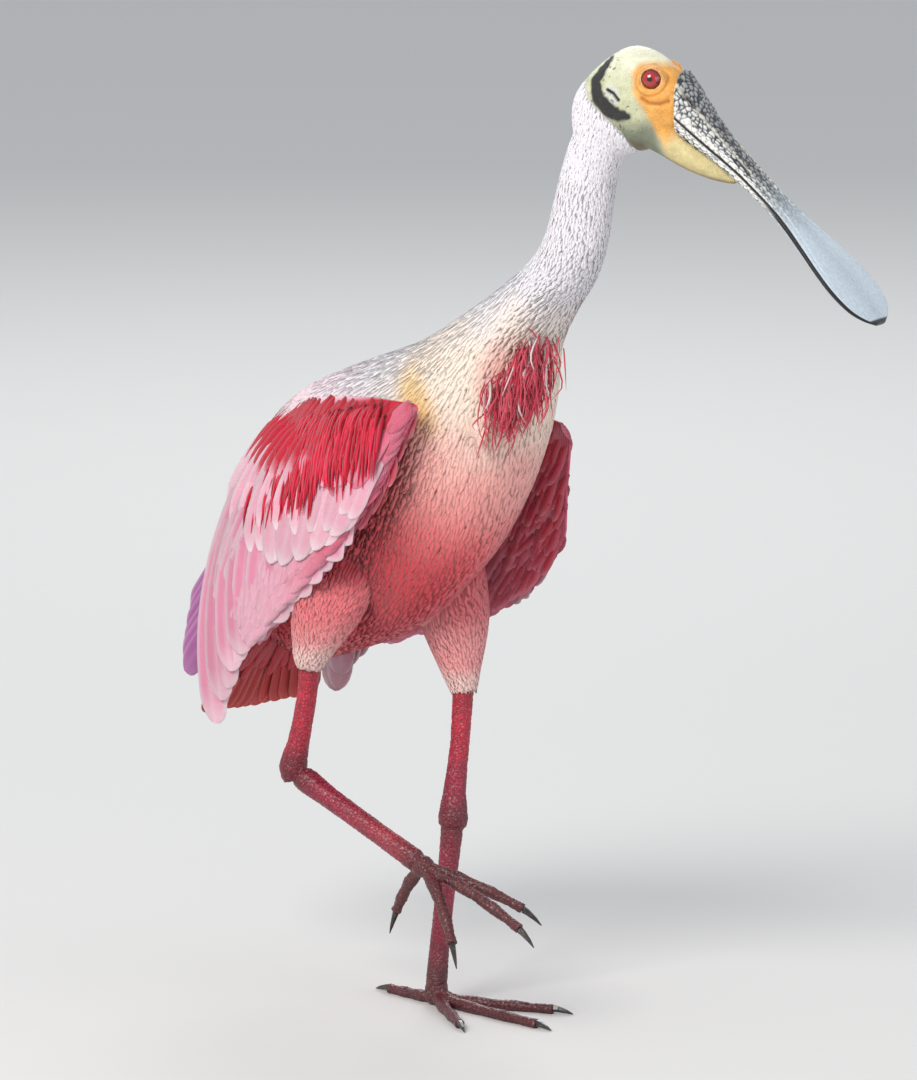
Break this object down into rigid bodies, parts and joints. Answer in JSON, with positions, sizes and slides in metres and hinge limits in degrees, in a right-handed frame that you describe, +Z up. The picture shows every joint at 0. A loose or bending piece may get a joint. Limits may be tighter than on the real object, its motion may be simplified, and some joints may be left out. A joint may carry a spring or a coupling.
{
  "type": "roseate spoonbill",
  "caption": "Life-size wading bird with a long spoon-tipped bill and folded wings, stepping with one leg lifted.",
  "frame": {"origin": "middle of the standing left foot's sole, on the floor", "axes": "+X the way the body faces, +Y towards the bird's left, +Z up"},
  "size_m": [0.5126, 0.1515, 0.5685],
  "materials": {
    "bare_skin": "bare facial skin, orange in front and pale greenish behind",
    "eye": "wet, blood red",
    "horn": "satin horn, pale grey",
    "pouch": "soft bare skin, pale cream",
    "white_plumage": "soft white feathers",
    "rose_plumage": "soft pink feathers",
    "wing_plumage": "smooth pink feathers",
    "tail_plumage": "smooth deep red feathers",
    "leg_skin": "satin scaled skin, crimson",
    "foot_skin": "satin scaled skin, dark maroon",
    "claw": "satin dark horn"
  },
  "bodies": {
    "root": {"head": "bare_skin", "eye_r": "eye", "eye_l": "eye", "bill_upper": "horn", "bill_lower": "horn", "throat_pouch": "pouch", "neck_upper": "white_plumage", "neck_middle": "white_plumage", "neck_lower": "white_plumage", "torso": "rose_plumage", "wing_r": "wing_plumage", "wing_l": "wing_plumage", "tail": "tail_plumage", "thigh_r": "rose_plumage", "thigh_l": "rose_plumage", "shin_r": "leg_skin", "shin_l": "leg_skin", "tarsus_r": "leg_skin", "tarsus_l": "leg_skin", "foot_r": "foot_skin", "foot_l": "foot_skin", "claw_r_inner": "claw", "claw_r_middle": "claw", "claw_r_outer": "claw", "claw_r_hind": "claw", "claw_l_inner": "claw", "claw_l_middle": "claw", "claw_l_outer": "claw", "claw_l_hind": "claw"}
  },
  "joints": []
}
